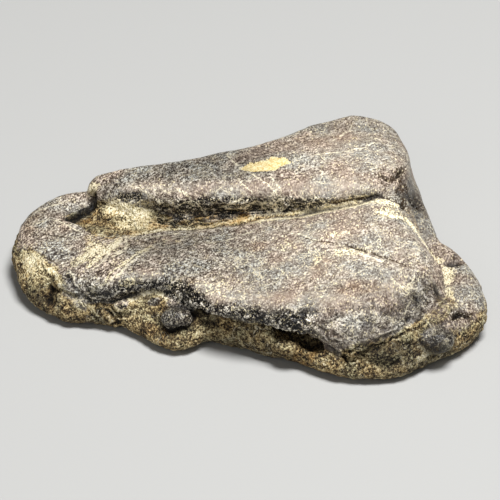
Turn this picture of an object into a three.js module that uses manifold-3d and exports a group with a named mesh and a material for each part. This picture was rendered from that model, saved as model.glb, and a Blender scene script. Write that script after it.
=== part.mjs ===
// Fossil dinosaur jaw: a worn piece of jaw bone, about 53 x 41 x 11 mm, lying on its flat underside.
//
// It is one piece of stone. A rough lower body carries a smooth plate of bone on its front side and a raised bar
// of bone along its back, with a furrow between the two. The left end is a plain rounded lobe, and a smaller lobe
// stands out past the plate at the right.
//
// Units are millimetres. X runs along the jaw, Y from the rough front edge to the bar, and Z up. The origin is the
// middle of the underside.
import * as THREE from "three";
import { ImprovedNoise } from "three/addons/math/ImprovedNoise.js";
import { mergeVertices } from "three/addons/utils/BufferGeometryUtils.js";
import Module from "manifold-3d";

const wasm = await Module();
wasm.setup();

// Driving dimensions.
const LENGTH = 53;
const WIDTH = 41;
const THICKNESS = 11;
const WEAR_DEPTH = 0.25; // how far wear has moved the surface in or out
const WEAR_SIZE = 4; // width of one worn dip or swell
const FOOT_INSET = 1.5; // from the widest line in to the edge of the flat underside

// The stations of each loop run anticlockwise, seen from above, from the left end.
// Lower body: [x, y, z] of its widest line, then how far in and how high its top edge lies.
const BODY = [
  [-26.5, 1.8, 2.4, 1.5, 4.7],
  [-25.7, -2.6, 2.0, 1.8, 4.2],
  [-23.8, -6.2, 1.7, 2.2, 3.7],
  [-20.6, -9.1, 1.3, 2.4, 3.5],
  [-16.5, -9.6, 1.2, 1.2, 3.4],
  [-13.6, -10.5, 1.2, 1.6, 3.4],
  [-11.2, -12.8, 1.2, 2.4, 3.4],
  [-8.8, -14.8, 1.2, 2.6, 3.4],
  [-6.5, -14.9, 1.3, 2.2, 3.5],
  [-4.5, -13.3, 1.3, 0.9, 3.6],
  [-1.8, -14.1, 1.2, 0.5, 4.0],
  [1.6, -15.9, 1.2, 0.5, 4.1],
  [5.0, -17.2, 1.3, 0.6, 3.6],
  [8.2, -19.3, 1.2, 0.8, 3.0],
  [10.6, -20.4, 1.2, 0.8, 2.5],
  [14.0, -20.5, 1.2, 1.4, 2.6],
  [17.0, -19.8, 1.3, 1.4, 2.9],
  [19.3, -17.9, 1.4, 1.0, 3.4],
  [21.8, -16.4, 1.6, 0.9, 3.9],
  [24.3, -14.3, 1.9, 1.1, 4.0],
  [26.0, -11.6, 2.2, 1.4, 4.3],
  [26.5, -8.9, 2.3, 1.6, 4.6],
  [25.9, -5.6, 2.3, 1.4, 4.9],
  [24.9, -2.6, 2.3, 1.2, 5.2],
  [23.6, -0.4, 2.3, 0.9, 5.3],
  [22.0, 1.2, 2.4, 0.7, 5.4],
  [21.5, 3.2, 2.5, 0.6, 5.7],
  [20.9, 6.2, 2.6, 0.6, 6.1],
  [20.2, 9.6, 2.7, 0.7, 6.4],
  [19.5, 13.2, 2.7, 0.7, 6.7],
  [19.0, 16.4, 2.6, 0.9, 6.8],
  [17.4, 18.8, 2.4, 1.2, 6.2],
  [14.6, 20.2, 2.1, 1.5, 6.6],
  [11.8, 20.6, 2.2, 1.7, 7.2],
  [8.6, 19.7, 2.4, 1.4, 6.8],
  [5.0, 17.5, 2.1, 1.3, 6.2],
  [0.4, 14.7, 2.3, 1.5, 6.8],
  [-5.0, 12.7, 2.6, 1.3, 6.9],
  [-11.0, 11.8, 2.2, 1.4, 6.3],
  [-16.5, 11.8, 2.3, 1.5, 5.8],
  [-19.7, 12.0, 2.3, 1.2, 5.4],
  [-22.4, 11.2, 2.4, 1.3, 5.4],
  [-24.9, 8.8, 2.4, 1.3, 5.2],
  [-26.2, 5.6, 2.4, 1.3, 5.0],
];

// Plate: [x, y, z] of its rim, then how far its lip stands out past the rim and how far below the rim it is.
const PLATE = [
  [-20.2, -2.6, 4.4, 0.5, 0.6],
  [-18.4, -7.2, 4.7, 0.4, 1.0],
  [-15.0, -8.9, 5.3, 0.3, 1.5],
  [-11.2, -8.4, 5.7, 0.3, 1.2],
  [-8.6, -8.8, 5.8, 0.5, 1.2],
  [-6.0, -11.0, 6.0, 0.8, 1.2],
  [-3.6, -13.8, 6.1, 0.5, 1.2],
  [-0.4, -14.9, 6.5, 0.5, 1.5],
  [3.6, -15.2, 7.0, 1.3, 2.1],
  [8.0, -16.2, 7.3, 1.7, 3.0],
  [11.2, -17.4, 7.2, 2.4, 3.8],
  [14.2, -16.2, 7.1, 1.9, 3.3],
  [17.1, -13.9, 7.0, 2.3, 2.5],
  [19.6, -11.6, 6.9, 1.9, 1.9],
  [20.9, -8.8, 6.8, 0.9, 1.5],
  [20.6, -6.2, 7.0, 0.5, 1.1],
  [19.5, -3.2, 7.6, 0.5, 1.1],
  [18.3, 0.8, 8.4, 0.6, 1.1],
  [17.4, 4.2, 8.9, 0.8, 1.2],
  [12.0, 7.0, 8.8, 0.5, 2.0],
  [4.0, 7.6, 6.9, 0.5, 2.0],
  [-4.0, 8.2, 5.7, 0.5, 1.6],
  [-11.0, 8.6, 5.0, 0.5, 1.2],
  [-16.0, 7.0, 4.6, 0.5, 0.8],
  [-20.2, 2.4, 4.3, 0.5, 0.6],
];

// Bar: [x, y, z] of its rim, then how far its face bulges past the rim and how far its foot draws back in.
const BAR = [
  [-18.2, 9.6, 6.9, 0.4, 0.2],
  [-16.8, 7.6, 7.6, 0.4, 0.5],
  [-14.2, 6.3, 8.3, 0.4, 0.8],
  [-10.9, 5.5, 8.8, 0.5, 0.9],
  [-5.2, 4.5, 9.2, 0.5, 1.0],
  [-0.7, 4.2, 9.5, 0.5, 1.0],
  [3.8, 3.7, 9.8, 0.4, 0.9],
  [8.2, 3.0, 10.1, 0.4, 0.8],
  [11.6, 3.4, 10.2, 0.3, 0.5],
  [15.0, 4.3, 10.0, 0.2, 0.3],
  [17.3, 5.2, 9.5, 0.4, -0.6],
  [17.9, 8.4, 9.5, 0.7, -1.4],
  [18.0, 12.0, 9.4, 0.7, -1.2],
  [17.8, 15.6, 9.4, 0.7, -0.8],
  [16.5, 18.7, 9.9, 0.7, 0.0],
  [12.8, 20.1, 10.4, 0.6, 0.3],
  [8.8, 18.7, 10.3, 0.7, 0.3],
  [5.0, 16.3, 10.2, 0.7, 0.4],
  [0.0, 13.6, 9.9, 0.7, 0.2],
  [-5.4, 12.0, 9.5, 0.7, 0.3],
  [-11.0, 11.0, 9.0, 0.7, 0.3],
  [-15.4, 10.9, 8.3, 0.6, 0.3],
  [-17.6, 10.8, 7.5, 0.5, 0.3],
];

// Swellings, the furrow and hollows: the two ends of each, its half width in plan, then its half height.
const SWELLINGS = [
  [[-9.3, -12.2, 2.6], [-5.7, -12.2, 2.6], 1.5, 1.4], // oval pebble on the front edge
  [[-12.2, -9.6, 3.4], [-8.4, -9.4, 3.4], 0.9, 0.6], // lens beside it
  [[-9.6, -12.7, 1.4], [-4.8, -13.4, 1.3], 1.5, 1.2], // toe below the pebble
  [[-21.5, -4.6, 3.9], [-18.9, -7.4, 3.6], 1.1, 1.0], // dark knob beside the plate's left corner
  [[-17.2, 7.3, 4.9], [-13.6, 6.0, 5.2], 1.4, 1.3], // crumbs packed under the bar's left end
  [[-15.4, 5.0, 4.6], [-11.8, 4.6, 4.8], 1.2, 1.1],
  [[-13.0, 3.8, 4.8], [-9.4, 3.3, 5.0], 1.0, 0.8],
  [[-14.3, 6.6, 7.1], [-11.3, 5.9, 7.4], 0.9, 0.9], // lumps on the bar's face
  [[-10.7, 5.4, 7.1], [-7.3, 5.0, 7.5], 0.9, 0.9],
  [[18.0, -16.9, 2.6], [21.4, -15.7, 2.7], 0.9, 1.2], // glossy lump on the right lobe's front
  [[22.4, -12.6, 3.6], [24.0, -4.8, 3.9], 2.1, 1.2], // crest of the right lobe
  [[-2.5, 13.6, 3.8], [2.5, 15.2, 3.4], 0.9, 1.4], // lumps on the back
  [[-15.6, 11.4, 3.6], [-12.4, 11.4, 3.4], 0.8, 1.2],
];
const FURROW = [
  [[-21.6, 5.2, 5.6], [2.0, 3.0, 7.0], 2.3, 1.3],
  [[-6.0, 3.2, 6.5], [15.4, 3.2, 9.6], 1.7, 1.0],
];
const HOLLOWS = [
  [[-20.9, 5.1, 5.5], [-16.8, 9.0, 6.2], 1.2, 1.6], // pocket at the furrow's left end
  [[2.2, -14.2, 3.8], [9.2, -17.2, 2.7], 2.8, 1.0], // cavity under the plate's front lip
  [[11.6, -20.0, 3.2], [18.2, -16.6, 3.4], 1.0, 0.8], // hollow right of the plate's nose
  [[-24.8, -5.2, 3.0], [-20.4, -9.2, 2.5], 0.9, 0.7], // hollow on the left lobe's front
  [[21.8, -3.3, 5.2], [24.2, -2.9, 4.9], 0.7, 0.6], // pits on the right lobe
  [[22.6, -13.9, 4.3], [25.2, -13.3, 4.1], 0.8, 0.6],
  [[14.2, 7.4, 10.6], [18.8, 7.3, 9.5], 0.35, 0.5], // notch in the bar's right end
  [[7.6, 19.9, 5.4], [11.4, 21.3, 5.2], 1.0, 0.8], // pits on the back
  [[-8.4, 12.5, 4.6], [-5.2, 12.9, 4.7], 0.8, 0.7],
];

const xyz = ([x, y, z]) => new THREE.Vector3(x, y, z);
const rough = new ImprovedNoise();

// Moves each point of a loop outwards in plan by out(station) and down by down(station).
function stepped(loop, out, down) {
  return loop.map((station, k) => {
    const next = xyz(loop[(k + 1) % loop.length]);
    const along = next.sub(xyz(loop.at(k - 1))).setZ(0).normalize();
    const outward = new THREE.Vector3(along.y, -along.x, 0);
    return xyz(station).addScaledVector(outward, out(station)).setZ(station[2] - down(station));
  });
}

// Draws a loop in towards a hub by share, at the height top(x, y).
function drawnIn(loop, hub, share, top) {
  return loop.map((station) => {
    const point = xyz(station).lerp(hub, share);
    return point.setZ(top(point.x, point.y));
  });
}

// A closed body through loops listed from top to bottom, with one pole above them and one below. Its k-th band of
// faces has rows[k] rows: the first band joins the top pole to the first loop.
function bodyThrough(loops, topPole, bottomPole, rows, around) {
  const curves = loops.map((points) => new THREE.CatmullRomCurve3(points, true, "centripetal"));
  const widest = curves[Math.floor(curves.length / 2)];
  const lastRows = rows.map((_, k) => rows.slice(0, k + 1).reduce((sum, count) => sum + count, 0));
  const body = new THREE.SphereGeometry(1, around, lastRows.at(-1));
  const place = body.getAttribute("position");
  for (let column = 0; column <= around; column += 1) {
    const t = widest.getUtoTmapping((column % around) / around);
    const stops = [topPole, ...curves.map((curve) => curve.getPoint(t)), bottomPole];
    const meridian = new THREE.CatmullRomCurve3(stops, false, "centripetal");
    for (let row = 0; row <= lastRows.at(-1); row += 1) {
      const band = lastRows.findIndex((last) => row <= last);
      const share = (row - lastRows[band]) / rows[band] + 1;
      const point = meridian.getPoint((band + share) / rows.length);
      place.setXYZ(row * (around + 1) + column, point.x, point.y, Math.max(0, point.z));
    }
  }
  return body;
}

// An ellipsoid stretched between two end points.
function ellipsoid([from, to, halfWidth, halfHeight]) {
  const run = xyz(to).sub(xyz(from));
  const shape = new THREE.SphereGeometry(1, 12, Math.round(6 + run.length() / 3));
  shape.rotateZ(Math.PI / 2).scale(run.length() / 2, halfWidth, halfHeight);
  shape.rotateY(-Math.asin(run.z / run.length())).rotateZ(Math.atan2(run.y, run.x));
  return shape.translate(...xyz(from).lerp(xyz(to), 0.5));
}

function solidOf(geometry) {
  const bare = geometry.clone();
  bare.deleteAttribute("normal");
  bare.deleteAttribute("uv");
  const merged = mergeVertices(bare, 1e-5);
  return new wasm.Manifold(
    new wasm.Mesh({
      numProp: 3,
      vertProperties: merged.getAttribute("position").array,
      triVerts: new Uint32Array(merged.index.array),
    }),
  );
}

function geometryOf(solid) {
  const mesh = solid.getMesh();
  const geometry = new THREE.BufferGeometry();
  geometry.setAttribute("position", new THREE.BufferAttribute(mesh.vertProperties, 3));
  geometry.setIndex(new THREE.BufferAttribute(mesh.triVerts, 1));
  return geometry;
}

function lowerBody() {
  const hub = new THREE.Vector3(0, -0.5, 4);
  const { smoothstep } = THREE.MathUtils;
  const lobe = (x, y) => (0.6 + 0.05 * y) * smoothstep(-x, 8, 15);
  const flank = (x, y) => 2.3 * smoothstep(x, 11, 16) * smoothstep(y, -1, 6);
  const top = (x, y) => 4.4 + lobe(x, y) + flank(x, y);
  const loops = [
    drawnIn(BODY, hub, 0.55, top),
    drawnIn(BODY, hub, 0.22, top),
    stepped(BODY, (s) => -s[3], (s) => s[2] - s[4]),
    BODY.map(xyz),
    stepped(BODY, () => -FOOT_INSET, (s) => s[2]),
    drawnIn(BODY, hub, 0.3, () => 0),
  ];
  return bodyThrough(loops, hub.clone().setZ(4.4), hub.clone().setZ(0), [1, 2, 3, 3, 2, 1, 1], 100);
}

function plate() {
  const hub = new THREE.Vector3(4, -5, 4);
  const rise = (x, y) => 6.85 + 0.147 * x + 0.0028 * x * x + (0.012 + 0.0045 * x) * (y - 2);
  const crown = (x, y) => 0.3 - 0.004 * (y + 7) ** 2 - 0.02 * Math.max(0, x - 11) ** 2;
  const top = (x, y) => rise(x, y) + crown(x, y);
  const loops = [
    drawnIn(PLATE, hub, 0.7, top),
    drawnIn(PLATE, hub, 0.35, top),
    drawnIn(PLATE, hub, 0.12, top),
    PLATE.map(xyz),
    stepped(PLATE, (s) => s[3] * 0.75, (s) => s[4] * 0.5),
    stepped(PLATE, (s) => s[3], (s) => s[4]),
    stepped(PLATE, (s) => s[3] - 1.8, (s) => s[4] + 0.8),
  ];
  return bodyThrough(loops, hub.clone().setZ(top(4, -5)), hub.clone().setZ(3), [2, 3, 3, 2, 1, 2, 1, 1], 88);
}

function bar() {
  const hub = new THREE.Vector3(4, 9.5, 5);
  const sag = (x, y) => 0.004 * Math.min(0, x) ** 2 + 0.012 * (y - 9) ** 2 + 0.012 * Math.max(0, x - 11) ** 2;
  const top = (x, y) => 10.4 + 0.055 * x - sag(x, y);
  const loops = [
    drawnIn(BAR, hub, 0.65, top),
    drawnIn(BAR, hub, 0.3, top),
    BAR.map(xyz),
    stepped(BAR, (s) => s[3], () => 1.0),
    stepped(BAR, (s) => s[3] * 0.75 - s[4] * 0.25, () => 2.2),
    stepped(BAR, (s) => -s[4], () => 4.0),
  ];
  return bodyThrough(loops, hub.clone().setZ(top(4, 9.5)), hub.clone().setZ(3), [2, 2, 3, 2, 1, 2, 1], 76);
}

// Wears the surface into shallow dips and swells, and leaves the flat underside flat.
function weather(geometry) {
  const place = geometry.getAttribute("position");
  for (let i = 0; i < place.count; i += 1) {
    const [x, y, z] = [place.getX(i), place.getY(i), place.getZ(i)];
    const depth = WEAR_DEPTH * THREE.MathUtils.smoothstep(z, 0, 2);
    const shift = (layer) => depth * rough.noise(x / WEAR_SIZE + layer, y / WEAR_SIZE, z / WEAR_SIZE);
    place.setXYZ(i, x + shift(10.5), y + shift(30.5), Math.max(0, z + shift(50.5)));
  }
}

// Brings the stone to its real length, width and thickness, standing on the origin.
function setToSize(geometry) {
  geometry.computeBoundingBox();
  const size = geometry.boundingBox.getSize(new THREE.Vector3());
  const middle = geometry.boundingBox.getCenter(new THREE.Vector3());
  geometry.translate(-middle.x, -middle.y, -geometry.boundingBox.min.z);
  geometry.scale(LENGTH / size.x, WIDTH / size.y, THICKNESS / size.z);
}

let stone = solidOf(lowerBody()).add(solidOf(plate()));
for (const stretch of FURROW) stone = stone.subtract(solidOf(ellipsoid(stretch)));
stone = stone.add(solidOf(bar()));
for (const hollow of HOLLOWS) stone = stone.subtract(solidOf(ellipsoid(hollow)));
for (const swelling of SWELLINGS) stone = stone.add(solidOf(ellipsoid(swelling)));

const geometry = geometryOf(stone);
weather(geometry);
setToSize(geometry);

const bone = new THREE.MeshStandardMaterial({ color: 0x9a8f7e, roughness: 0.55, metalness: 0 });
const jaw = new THREE.Mesh(geometry, bone);
jaw.name = "jaw_bone";

const part = new THREE.Group();
part.add(jaw);
export default part;
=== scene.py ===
"""A worn fossil dinosaur jaw on a plain pale floor.

The jaw is one piece of stone: a smooth plate of bone and a raised bar of bone, with a furrow between
them, on a body of crumbly rock. Its mesh is an even copy of the CAD solid, carved finer. Sizes are
millimetres until the mesh is written, and then metres.
"""

import math

import bmesh
import bpy
import numpy as np
from mathutils import Matrix, Vector, noise


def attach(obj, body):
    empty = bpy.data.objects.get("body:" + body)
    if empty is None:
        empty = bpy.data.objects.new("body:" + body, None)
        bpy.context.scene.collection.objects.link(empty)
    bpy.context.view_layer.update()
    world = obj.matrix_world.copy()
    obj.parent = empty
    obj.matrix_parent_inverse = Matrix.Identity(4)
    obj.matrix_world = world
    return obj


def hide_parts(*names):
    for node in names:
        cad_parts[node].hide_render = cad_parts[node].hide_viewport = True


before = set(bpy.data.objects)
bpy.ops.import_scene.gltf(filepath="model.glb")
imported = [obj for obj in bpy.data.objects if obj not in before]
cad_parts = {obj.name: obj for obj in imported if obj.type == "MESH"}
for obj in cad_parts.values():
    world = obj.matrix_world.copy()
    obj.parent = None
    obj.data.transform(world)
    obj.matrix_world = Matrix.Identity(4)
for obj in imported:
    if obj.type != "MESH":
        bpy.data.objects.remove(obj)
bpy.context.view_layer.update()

MM = 0.001
MESH_STEP = 0.21  # width of the small faces of the jaw's mesh
SMOOTHINGS = 4  # rounds of smoothing over the whole jaw
TOP_SMOOTHINGS = 10  # more rounds over its flat tops
WELD = 0.002  # corners of the CAD solid that lie nearer than this are one corner
SOLE_TOP = 0.02  # level faces below this height are the flat sole
WANDER = 0.45  # how far the edge of a place strays from its line
SHAKE = 0.16  # how far a vein, crack or fold strays from its line
FAR_OFF = 20.0  # stands for a place with no vein or crack near it, in half widths of one
POCKET_FLOOR = 4.25  # height of the sunk floor at the pocket's wall
POCKET_SLOPE = 0.3  # how much that floor climbs in each millimetre from the wall
SHELF_HEIGHT = 5.25  # height of the flat rim behind that wall
CHIP_LOWEST = 9.0  # the pale chip lies only above this height, on the bar's top

# ------------------------------
# Where things are on the stone. Points are [x, y, z], or [x, y] in plan.

# Plan outline of the furrow's floor, and of the pocket at its left end.
FURROW = [
    [-20.8, 6.0], [-19.0, 3.5], [-17.3, 1.7], [-15.3, 0.6], [-13.0, 0.8], [-10.8, 1.4], [-8.1, 2.1],
    [-5.2, 2.4], [-2.4, 2.4], [0.4, 2.6], [3.2, 2.8], [6.6, 2.9], [10.5, 3.0], [14.2, 3.1],
    [14.0, 4.6], [8.0, 5.0], [3.8, 5.4], [-0.7, 6.0], [-5.2, 6.4], [-9.2, 7.0], [-12.6, 7.6],
    [-15.4, 8.6], [-16.6, 9.4],
]

# Heights along the front, as [x, z]: the foot of the bar's face, the dark band on that face, the
# plate's lip, and the rim above the lip.
BAR_FOOT = [
    [-17.0, 6.6], [-14.3, 6.9], [-12.6, 6.9], [-10.9, 6.6], [-9.2, 6.0], [-5.2, 5.9], [-2.4, 6.1],
    [0.4, 6.6], [3.8, 7.2], [8.3, 8.2], [11.7, 8.8], [17.6, 9.2],
]
BAND_FOOT = [
    [-11.0, 5.6], [-7.5, 5.6], [-5.2, 6.0], [-1.8, 6.3], [1.6, 6.9], [4.9, 7.4], [8.3, 8.3],
    [11.7, 8.8],
]
BAND_TOP = [
    [-11.0, 8.1], [-8.6, 8.2], [-7.5, 8.5], [-5.2, 8.7], [-1.8, 8.9], [1.6, 9.2], [4.9, 9.4],
    [8.3, 9.6], [13.0, 9.5],
]
LIP = [
    [-19.0, 3.4], [-17.2, 2.9], [-13.3, 3.1], [-11.6, 4.1], [-9.4, 4.5], [-6.6, 4.3], [-3.4, 4.0],
    [1.0, 4.3], [4.0, 4.6], [7.4, 3.9], [9.5, 2.8], [11.3, 2.7], [14.4, 3.6], [17.6, 4.5], [21.0, 4.6],
]
RIM = [
    [-19.0, 4.7], [-16.6, 5.2], [-13.3, 5.9], [-10.5, 5.9], [-7.4, 6.2], [-4.7, 6.3], [-1.9, 6.5],
    [3.6, 6.9], [8.4, 7.0], [14.3, 7.0], [18.8, 7.0], [21.0, 6.7],
]

# Rock shows in front of this plan line on the left lobe.
LOBE_EDGE = [
    [-27.0, 1.9], [-26.1, 1.5], [-24.3, 0.0], [-22.1, -2.5], [-21.0, -4.2], [-20.2, -6.4],
    [-19.2, -7.9], [-18.0, -8.8], [-16.8, -9.6],
]

# Plan outline of the pale chip in the bar's top.
CHIP = [
    [-0.8, 8.0], [0.4, 9.0], [1.8, 9.4], [2.9, 9.9], [4.5, 9.8], [5.2, 8.6], [4.0, 7.9], [3.3, 7.1],
    [2.1, 7.0], [0.7, 7.2],
]

# Cream mineral veins: half the width, then the way the vein runs.
VEINS = [
    [0.08, [[-2.3, 11.2, 10.3], [-1.6, 9.8, 10.3], [-0.9, 8.4, 10.2]]],
    [0.07, [[-0.9, 8.4, 10.2], [0.0, 7.4, 10.3], [1.0, 6.1, 10.4], [2.5, 4.5, 10.2], [3.6, 3.3, 9.4],
        [4.0, 3.2, 8.7], [4.0, 3.6, 7.4]]],
    [0.06, [[2.9, 5.5, 10.5], [3.6, 4.2, 10.2], [4.1, 3.4, 9.7]]],
    [0.06, [[-1.2, 6.2, 10.2], [-0.4, 5.0, 10.0], [0.4, 4.2, 9.7]]],
    [0.08, [[-9.7, 5.7, 9.2], [-8.8, 4.9, 8.9], [-7.7, 5.1, 9.3], [-6.8, 4.6, 8.9], [-6.0, 4.1, 8.3],
        [-5.3, 4.2, 7.6], [-4.8, 4.8, 6.3]]],
    [0.07, [[-13.0, 6.6, 9.0], [-11.4, 5.6, 8.7], [-10.2, 5.3, 8.0], [-9.2, 5.2, 7.2]]],
    [0.07, [[-9.7, 4.8, 8.0], [-9.1, 4.3, 7.5], [-8.4, 5.2, 6.2]]],
    [0.05, [[-7.9, 4.3, 7.5], [-7.0, 4.2, 8.0], [-6.1, 4.2, 7.7]]],
    [0.07, [[-3.0, 4.2, 7.3], [-1.7, 3.8, 8.2], [-0.5, 3.7, 8.9]]],
    [0.07, [[-0.5, 3.8, 7.9], [0.7, 3.7, 8.3], [1.8, 3.5, 8.5], [2.7, 3.4, 8.6]]],
    [0.06, [[1.0, 3.7, 8.1], [1.8, 3.8, 7.7], [2.5, 4.0, 7.1]]],
    [0.08, [[2.9, 3.4, 9.4], [3.2, 3.3, 8.6], [3.4, 3.6, 7.5]]],
    [0.06, [[10.0, 13.8, 10.7], [11.1, 15.2, 10.5], [11.8, 16.3, 10.4], [12.2, 17.5, 10.4]]],
    [0.07, [[8.2, 10.3, 10.8], [10.9, 10.6, 10.9], [13.2, 11.4, 11.0], [15.2, 13.6, 10.5]]],
    [0.07, [[-2.1, 4.1, 7.4], [-0.4, 3.9, 7.6], [1.8, 3.6, 8.3], [3.9, 3.2, 8.9]]],
    [0.07, [[6.3, 2.9, 9.4], [6.9, 2.9, 8.9], [7.4, 2.9, 8.6]]],
    [0.06, [[7.6, 3.1, 9.6], [8.8, 2.9, 9.0], [9.6, 2.9, 8.7]]],
    # The long one up the plate, and the loop beside it.
    [0.11, [[-16.8, -8.4, 4.5], [-15.6, -8.5, 5.4], [-14.7, -8.4, 5.8], [-13.8, -7.5, 6.2],
        [-13.1, -5.9, 6.1]]],
    [0.08, [[-13.1, -5.9, 6.1], [-12.4, -4.7, 6.1], [-11.5, -3.7, 6.1], [-10.7, -2.5, 6.0],
        [-10.2, -1.4, 5.9], [-9.3, -0.6, 5.9], [-8.0, -0.1, 6.0], [-6.7, 0.2, 6.1]]],
    [0.11, [[-16.6, -5.8, 5.9], [-15.7, -4.4, 6.0], [-15.0, -2.5, 5.9], [-14.4, -0.6, 5.7],
        [-13.9, 0.8, 5.5], [-13.5, 0.1, 5.6], [-13.3, -1.5, 5.8], [-13.9, -2.9, 6.0],
        [-14.9, -4.2, 6.1]]],
    [0.05, [[-2.3, -6.2, 6.9], [-1.1, -7.6, 7.0], [-0.3, -8.6, 7.0]]],
    [0.06, [[-4.2, -2.0, 6.5], [-2.0, -1.6, 6.7], [0.6, -0.2, 7.0]]],
    [0.06, [[4.2, -1.2, 7.5], [6.0, -2.4, 7.9], [7.6, -3.8, 8.2]]],
    [0.09, [[11.4, -6.4, 8.5], [12.9, -8.0, 8.7], [14.8, -9.5, 8.8]]],
    [0.07, [[17.7, -12.5, 7.6], [18.6, -11.5, 7.8]]],
    [0.06, [[17.0, -13.5, 7.2], [18.5, -13.7, 6.4]]],
    [0.06, [[18.0, -11.2, 7.8], [17.5, -12.7, 7.6], [17.7, -13.9, 6.7], [16.9, -15.6, 6.0]]],
    [0.05, [[18.2, -17.2, 3.2], [19.1, -16.8, 3.5], [20.4, -16.5, 3.5], [21.5, -16.3, 2.8]]],
    [0.05, [[19.6, -15.4, 4.2], [20.4, -16.5, 3.5], [20.9, -17.0, 1.5]]],
    [0.06, [[15.8, -12.4, 7.9], [17.2, -12.9, 7.5], [18.3, -12.6, 7.4]]],
    [0.1, [[-16.7, 1.6, 5.4], [-13.9, 0.8, 5.5], [-10.2, 0.6, 5.8], [-6.9, 1.3, 6.2], [-3.5, 1.6, 6.5],
        [-0.1, 2.2, 6.9], [3.2, 2.5, 7.3]]],
    # On the left lobe.
    [0.08, [[-23.6, 4.6, 5.2], [-22.3, 5.1, 5.3], [-20.9, 4.5, 5.3], [-19.0, 2.8, 5.1]]],
    [0.07, [[-19.6, -5.0, 4.6], [-18.9, -6.9, 4.4]]],
    [0.06, [[-24.6, 6.4, 5.0], [-22.8, 7.4, 5.2], [-20.6, 8.6, 5.2]]],
    # On the back, unseen from the front.
    [0.08, [[-9.0, 12.3, 8.0], [-8.4, 12.6, 6.0], [-7.0, 12.9, 4.4]]],
    [0.07, [[6.0, 17.4, 9.6], [7.0, 18.6, 7.6], [7.6, 19.6, 5.0], [7.4, 19.4, 3.0]]],
]

# Dark open cracks: half the width, the depth, then the way the crack runs.
CRACKS = [
    [0.07, 0.15, [[6.6, -3.2, 8.1], [8.1, -4.2, 8.3], [9.6, -4.7, 8.4]]],
    [0.12, 0.3, [[11.2, -5.6, 8.5], [12.3, -6.5, 8.6], [13.2, -7.2, 8.7]]],
    [0.12, 0.3, [[13.8, -7.5, 8.8], [14.6, -8.2, 8.9], [15.1, -8.5, 8.9]]],
    [0.07, 0.2, [[15.4, -8.7, 8.9], [16.2, -9.3, 8.8], [17.4, -10.1, 8.7]]],
    [0.26, 0.6, [[15.2, 5.9, 10.5], [16.0, 5.6, 10.2], [16.7, 6.2, 10.1], [17.4, 7.8, 9.9],
        [18.0, 9.4, 9.5]]],
    [0.06, 0.2, [[15.2, 4.8, 10.3], [16.2, 4.8, 9.9]]],
    [0.3, 0.6, [[17.6, 6.6, 9.7], [17.6, 5.2, 9.4], [17.6, 3.2, 9.0], [17.5, 1.5, 8.9]]],
    [0.2, 0.4, [[17.8, 6.2, 9.4], [18.6, 5.8, 8.6], [19.4, 5.6, 7.6]]],
    [0.12, 0.3, [[9.6, 3.3, 9.0], [11.6, 3.6, 9.0], [13.4, 3.6, 8.9], [15.0, 3.7, 9.3],
        [15.9, 2.8, 9.4], [16.8, 2.3, 9.3], [17.4, 2.3, 9.1]]],
    [0.09, 0.2, [[-22.5, 2.3, 5.0], [-20.4, 1.9, 5.0]]],
    [0.08, 0.2, [[-23.0, -1.6, 4.8], [-21.9, -2.6, 4.8]]],
    [0.1, 0.3, [[-14.8, 8.4, 8.6], [-15.3, 7.2, 8.0]]],
    [0.3, 0.6, [[22.4, -13.8, 4.3], [23.3, -12.8, 4.4], [24.6, -13.0, 4.0]]],
    [0.1, 0.3, [[-10.9, -10.2, 4.0], [-10.1, -10.4, 4.0], [-9.3, -10.0, 4.2]]],
    [0.1, 0.3, [[3.0, -13.7, 3.5], [4.4, -14.2, 3.5], [5.8, -15.4, 3.6]]],
]

# Layers of rock and crust that run beside a line: half the width, the spacing, the height of a
# ridge, then the line.
FOLDS = [
    [1.8, 0.7, 0.16, [[4.6, -15.6, 5.6], [7.1, -17.3, 5.3], [8.4, -18.2, 5.0], [9.5, -18.9, 4.2],
        [11.3, -19.5, 2.6]]],
    [2.2, 1.0, 0.18, [[-22.6, -3.0, 4.6], [-20.9, -4.9, 4.3], [-19.4, -7.5, 3.8], [-18.1, -8.2, 3.0],
        [-16.6, -9.3, 2.1], [-15.0, -9.9, 1.4]]],
    [1.6, 0.8, 0.07, [[-16.0, -9.0, 2.4], [-13.8, -9.8, 2.3], [-11.4, -10.8, 2.8], [-9.6, -11.2, 2.9]]],
    [1.6, 0.9, 0.14, [[11.1, -19.6, 3.6], [13.2, -18.8, 4.4], [15.9, -17.3, 4.6], [18.1, -15.9, 4.9],
        [19.8, -14.4, 5.0], [21.2, -11.8, 5.2]]],
    [1.5, 0.55, 0.18, [[-12.0, 3.4, 5.6], [-8.1, 3.6, 5.4], [-4.0, 3.9, 5.6], [0.4, 4.0, 6.2],
        [6.1, 3.8, 7.4]]],
    [1.0, 0.6, 0.12, [[-16.8, -9.0, 4.0], [-14.0, -8.8, 4.4], [-11.6, -8.0, 5.0], [-8.0, -9.4, 5.2],
        [-5.0, -12.2, 4.9], [-1.0, -14.2, 5.0], [2.6, -15.0, 5.4]]],
    [0.9, 0.6, 0.1, [[-22.6, -5.8, 2.8], [-21.5, -7.0, 2.5], [-20.3, -8.3, 2.3]]],
]

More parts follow.
